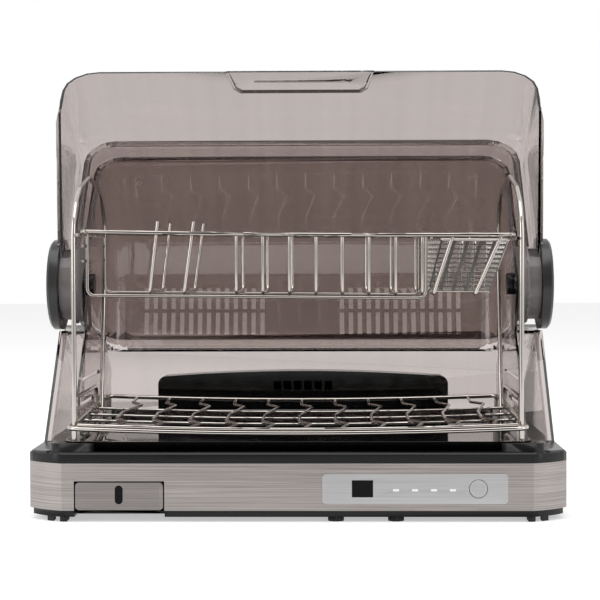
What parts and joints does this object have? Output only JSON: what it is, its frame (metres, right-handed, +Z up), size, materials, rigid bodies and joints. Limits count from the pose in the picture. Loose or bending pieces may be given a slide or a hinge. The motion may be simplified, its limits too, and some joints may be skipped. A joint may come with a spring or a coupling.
{
  "type": "electric dish dryer",
  "caption": "Countertop dish dryer with a smoked roll-back dome over two wire racks, a drip tray and a steel-banded base with a water drawer.",
  "frame": {"origin": "centre of the footprint on the table surface", "axes": "+Z up, front of the base and its controls towards -Y, +X to the right seen from the front"},
  "size_m": [0.507, 0.4028, 0.4349],
  "materials": {
    "smoked_plastic": "clear smoked brown, polished",
    "black_plastic": "fine satin black",
    "black_gloss": "glossy black",
    "black_rubber": "matt black rubber",
    "brushed_steel": "horizontal brushed grain",
    "silver_plate": "satin silver",
    "window_black": "glossy black window",
    "lamp_white": "milky white",
    "circuit_board": "green board",
    "tray_plastic": "dark smoked, glossy",
    "motor_steel": "plain steel",
    "heater_aluminium": "plain fins",
    "rack_steel": "polished stainless wire",
    "clear_sleeve": "milky sleeve",
    "basket_steel": "bright perforated sheet"
  },
  "bodies": {
    "base": {"base_pan": "black_plastic", "steel_band": "brushed_steel", "top_deck": "black_gloss", "rubber_feet": "black_rubber", "control_plate": "silver_plate", "display_window": "window_black", "lamp_lenses": "lamp_white", "control_board": "circuit_board", "rear_cover": "smoked_plastic", "hinge_pins": "black_plastic", "hub_caps": "black_plastic", "air_outlet": "black_gloss", "fan_casing": "black_plastic", "fan_motor": "motor_steel", "heater": "heater_aluminium", "power_inlet": "black_rubber"},
    "lid": {"lid": "smoked_plastic"},
    "middle_cover": {"middle_cover": "smoked_plastic"},
    "drawer": {"water_drawer": "black_plastic", "drawer_face": "brushed_steel", "sight_window": "window_black"},
    "button": {"select_button": "silver_plate"},
    "fan": {"fan_rotor": "black_plastic"},
    "tray": {"drip_tray": "tray_plastic"},
    "lower_rack": {"lower_rack_rim": "rack_steel", "lower_rack_rods": "rack_steel", "lower_rack_waves": "rack_steel", "lower_rack_legs": "rack_steel", "leg_sleeves": "clear_sleeve", "side_arches": "rack_steel", "hanging_rails": "rack_steel"},
    "upper_rack": {"upper_rack_rim": "rack_steel", "upper_rack_loops": "rack_steel", "plate_wires": "rack_steel", "cup_wires": "rack_steel", "basket_wires": "rack_steel"},
    "basket": {"cutlery_basket": "basket_steel"}
  },
  "joints": [
    {"name": "lid_hinge", "type": "hinge", "parent": "base", "child": "lid", "pos_m": [0, -0.012, 0.214], "axis": [-1, 0, 0], "range_deg": [-136, 0]},
    {"name": "middle_hinge", "type": "hinge", "parent": "base", "child": "middle_cover", "pos_m": [0, -0.012, 0.214], "axis": [-1, 0, 0], "range_deg": [-64, 0]},
    {"name": "drawer_slide", "type": "slide", "parent": "base", "child": "drawer", "axis": [0, -1, 0], "range_m": [0, 0.11]},
    {"name": "button_press", "type": "slide", "parent": "base", "child": "button", "axis": [0, 1, 0], "range_m": [0, 0.0008], "stiffness_N_per_m": 900},
    {"name": "fan_spin", "type": "hinge", "parent": "base", "child": "fan", "pos_m": [0.06, 0.068, 0.03], "axis": [0, 0, 1], "continuous": true},
    {"name": "tray_lift", "type": "slide", "parent": "base", "child": "tray", "axis": [0, 0, 1], "range_m": [0, 0.012]},
    {"name": "lower_rack_lift", "type": "slide", "parent": "tray", "child": "lower_rack", "axis": [0, 0, 1], "range_m": [0, 0.09]},
    {"name": "upper_rack_lift", "type": "slide", "parent": "lower_rack", "child": "upper_rack", "axis": [0, 0, 1], "range_m": [0, 0.1]},
    {"name": "basket_lift", "type": "slide", "parent": "upper_rack", "child": "basket", "axis": [0, 0, 1], "range_m": [0, 0.08]}
  ],
  "couplings": [
    {"joint": "middle_hinge", "follows": "lid_hinge", "ratio": 0.47059}
  ]
}
